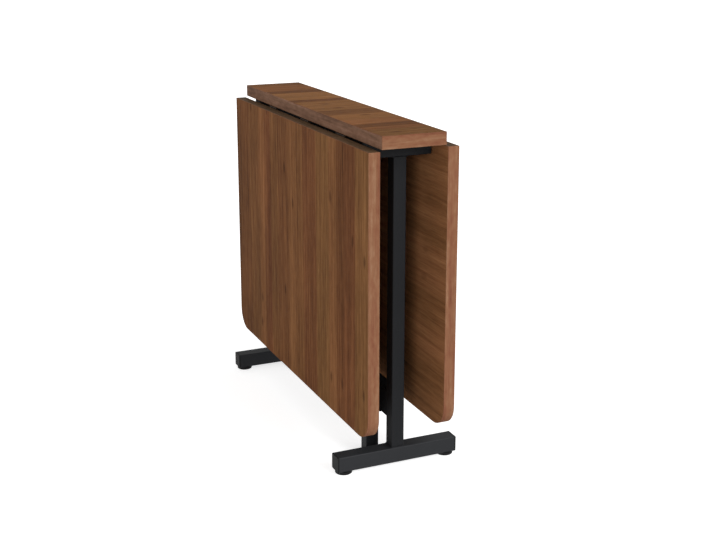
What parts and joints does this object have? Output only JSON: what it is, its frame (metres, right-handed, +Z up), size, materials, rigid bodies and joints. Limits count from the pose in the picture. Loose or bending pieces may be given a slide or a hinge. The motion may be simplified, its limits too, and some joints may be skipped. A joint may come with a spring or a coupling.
{
  "type": "extending dining table",
  "caption": "Drop-leaf dining table with a narrow centre board, hanging leaves, swing-out gate supports and T-shaped steel end frames.",
  "frame": {"origin": "on the floor under the middle of the centre board", "axes": "+Z up, +X along the board towards the near end, -Y towards the left leaf, +Y towards the right leaf"},
  "size_m": [0.85, 0.288, 0.753],
  "materials": {
    "wood": "walnut effect board, satin",
    "black_steel": "black powder coat, satin",
    "black_plastic": "moulded black plastic",
    "nylon": "natural white nylon",
    "browned_steel": "browned steel"
  },
  "bodies": {
    "frame": {"centre_board": "wood", "stretcher": "black_steel", "upper_rail": "black_steel", "near_foot_bar": "black_steel", "near_post": "black_steel", "near_head_bar": "black_steel", "near_left_foot_plug": "black_plastic", "near_right_foot_plug": "black_plastic", "near_left_glide": "black_plastic", "near_right_glide": "black_plastic", "far_foot_bar": "black_steel", "far_post": "black_steel", "far_head_bar": "black_steel", "far_left_foot_plug": "black_plastic", "far_right_foot_plug": "black_plastic", "far_left_glide": "black_plastic", "far_right_glide": "black_plastic", "left_far_hinge_board_plate": "browned_steel", "left_far_hinge_pin": "browned_steel", "left_middle_hinge_board_plate": "browned_steel", "left_middle_hinge_pin": "browned_steel", "left_near_hinge_board_plate": "browned_steel", "left_near_hinge_pin": "browned_steel", "right_far_hinge_board_plate": "browned_steel", "right_far_hinge_pin": "browned_steel", "right_middle_hinge_board_plate": "browned_steel", "right_middle_hinge_pin": "browned_steel", "right_near_hinge_board_plate": "browned_steel", "right_near_hinge_pin": "browned_steel", "left_lower_pivot_plate": "black_steel", "left_upper_pivot_plate": "black_steel", "right_lower_pivot_plate": "black_steel", "right_upper_pivot_plate": "black_steel"},
    "left_leaf": {"left_leaf": "wood", "left_far_hinge_leaf_plate": "browned_steel", "left_middle_hinge_leaf_plate": "browned_steel", "left_near_hinge_leaf_plate": "browned_steel"},
    "right_leaf": {"right_leaf": "wood", "right_far_hinge_leaf_plate": "browned_steel", "right_middle_hinge_leaf_plate": "browned_steel", "right_near_hinge_leaf_plate": "browned_steel"},
    "left_gate": {"left_gate_leg": "black_steel", "left_gate_pivot_tube": "black_steel", "left_gate_upper_rail": "black_steel", "left_gate_lower_rail": "black_steel", "left_gate_upper_bush": "nylon", "left_gate_lower_bush": "nylon", "left_gate_glide": "black_plastic", "left_gate_slider": "black_plastic"},
    "right_gate": {"right_gate_leg": "black_steel", "right_gate_pivot_tube": "black_steel", "right_gate_upper_rail": "black_steel", "right_gate_lower_rail": "black_steel", "right_gate_upper_bush": "nylon", "right_gate_lower_bush": "nylon", "right_gate_glide": "black_plastic", "right_gate_slider": "black_plastic"}
  },
  "joints": [
    {"name": "left_leaf_hinge", "type": "hinge", "parent": "frame", "child": "left_leaf", "pos_m": [0, -0.0737, 0.7221], "axis": [-1, 0, 0], "range_deg": [0, 90]},
    {"name": "right_leaf_hinge", "type": "hinge", "parent": "frame", "child": "right_leaf", "pos_m": [0, 0.0737, 0.7221], "axis": [1, 0, 0], "range_deg": [0, 90]},
    {"name": "left_gate_pivot", "type": "hinge", "parent": "frame", "child": "left_gate", "pos_m": [-0.278, -0.032, 0.41], "axis": [0, 0, -1], "range_deg": [0, 2.8]},
    {"name": "right_gate_pivot", "type": "hinge", "parent": "frame", "child": "right_gate", "pos_m": [0.278, 0.032, 0.41], "axis": [0, 0, -1], "range_deg": [0, 2.8]}
  ]
}
